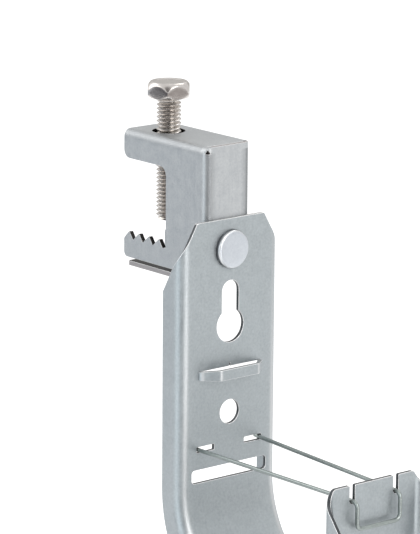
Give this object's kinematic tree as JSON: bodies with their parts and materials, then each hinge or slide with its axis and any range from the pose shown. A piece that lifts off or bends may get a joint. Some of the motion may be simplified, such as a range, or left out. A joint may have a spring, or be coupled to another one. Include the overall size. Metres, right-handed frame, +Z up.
{
  "type": "j-hook beam clamp",
  "caption": "Sheet steel J-hook with a wire retainer, riveted so that it swivels on a screw clamp with toothed jaws that grips the flange of a steel beam.",
  "frame": {"origin": "on the screw's axis, level with the tips of the clamp's teeth, midway between its two side walls: the beam's flange rests on this level", "axes": "+Z up along the screw's axis, +Y the way the clamp's jaws open, so the mouth of the hook faces -Y, +X across the hook to the right as seen from the hook's front"},
  "size_m": [0.031, 0.0896, 0.1273],
  "materials": {
    "clamp_steel": "galvanised sheet, satin with a faint mottle",
    "screw_nickel": "nickel plated, bright",
    "rivet_zinc": "zinc plated, satin",
    "hook_steel": "galvanised sheet, satin with a faint mottle",
    "retainer_wire": "drawn spring wire, satin"
  },
  "bodies": {
    "clamp": {"clamp_body": "clamp_steel", "swivel_rivet": "rivet_zinc"},
    "screw": {"clamp_screw": "screw_nickel"},
    "hook": {"hook_body": "hook_steel"},
    "retainer": {"wire_retainer": "retainer_wire"}
  },
  "joints": [
    {"name": "screw_travel", "type": "slide", "parent": "clamp", "child": "screw", "axis": [0, 0, 1], "range_m": [-0.003, 0.014]},
    {"name": "hook_swivel", "type": "hinge", "parent": "clamp", "child": "hook", "pos_m": [0, -0.0226, 0], "axis": [0, 1, 0], "range_deg": [-55, 55]},
    {"name": "retainer_tip", "type": "hinge", "parent": "hook", "child": "retainer", "pos_m": [0, -0.0231, -0.0482], "axis": [-1, 0, 0], "range_deg": [0, 15]}
  ]
}
